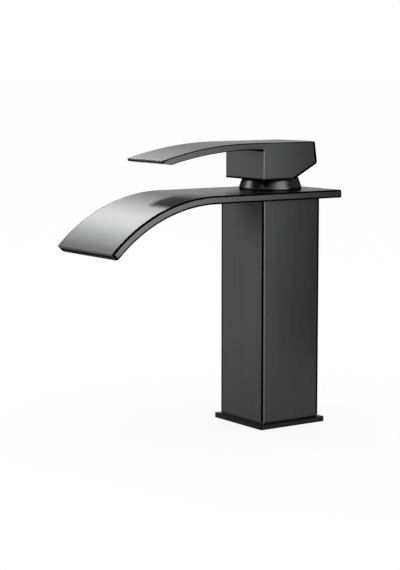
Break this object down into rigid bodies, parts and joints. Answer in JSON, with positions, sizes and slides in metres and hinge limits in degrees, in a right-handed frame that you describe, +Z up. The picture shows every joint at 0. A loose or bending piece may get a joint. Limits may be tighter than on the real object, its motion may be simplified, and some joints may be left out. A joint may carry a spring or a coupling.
{
  "type": "basin mixer tap",
  "caption": "Deck-mounted basin mixer: square column on a base plate, wide flat spout curving down to an outlet slot, and a flat lever that swings and lifts to set heat and flow.",
  "frame": {"origin": "centre of the base plate's underside, on the plane that meets the basin", "axes": "+Z up along the column, -Y towards the spout's tip, +X to the right of someone who faces the tap"},
  "size_m": [0.0598, 0.1593, 0.1673],
  "materials": {
    "gunmetal": "dark satin coating over brushed metal",
    "dark_gloss": "dark smooth coating, glossier than the rest",
    "brass": "machined",
    "copper": "drawn tube",
    "steel": "turned",
    "rubber": "moulded",
    "housing_plastic": "moulded",
    "rotor_plastic": "moulded",
    "ceramic": "lapped ceramic",
    "plug_plastic": "moulded"
  },
  "bodies": {
    "mixer_body": {"base_plate": "gunmetal", "base_gasket": "rubber", "column_shell": "gunmetal", "foot_block": "brass", "hot_feed_pipe": "copper", "cold_feed_pipe": "copper", "feed_pipe_seals": "rubber", "valve_body": "brass", "gallery_plugs": "brass", "spout_top_plate": "gunmetal", "spout_bottom_plate": "gunmetal", "cartridge_housing": "housing_plastic", "cartridge_base": "housing_plastic", "port_seals": "rubber", "fixed_disc": "ceramic", "retaining_nut": "brass", "cone_cover": "dark_gloss", "cover_o_ring": "rubber"},
    "cartridge_rotor": {"rotor": "rotor_plastic", "pivot_pin": "steel"},
    "disc_slider": {"disc_carrier": "rotor_plastic", "moving_disc": "ceramic"},
    "lever": {"stem": "steel", "lever_handle": "gunmetal", "grub_screw": "steel", "screw_plug": "plug_plastic"}
  },
  "joints": [
    {"name": "handle_turn", "type": "hinge", "parent": "mixer_body", "child": "cartridge_rotor", "pos_m": [0, 0, 0.13706], "axis": [0, 0, 1], "range_deg": [-45, 45]},
    {"name": "handle_lift", "type": "hinge", "parent": "cartridge_rotor", "child": "lever", "pos_m": [0, 0, 0.13706], "axis": [-1, 0, 0], "range_deg": [0, 25]},
    {"name": "disc_slide", "type": "slide", "parent": "cartridge_rotor", "child": "disc_slider", "axis": [0, -1, 0], "range_m": [0, 0.004]}
  ],
  "couplings": [
    {"joint": "disc_slide", "follows": "handle_lift", "m_per_rad": 0.00887}
  ]
}
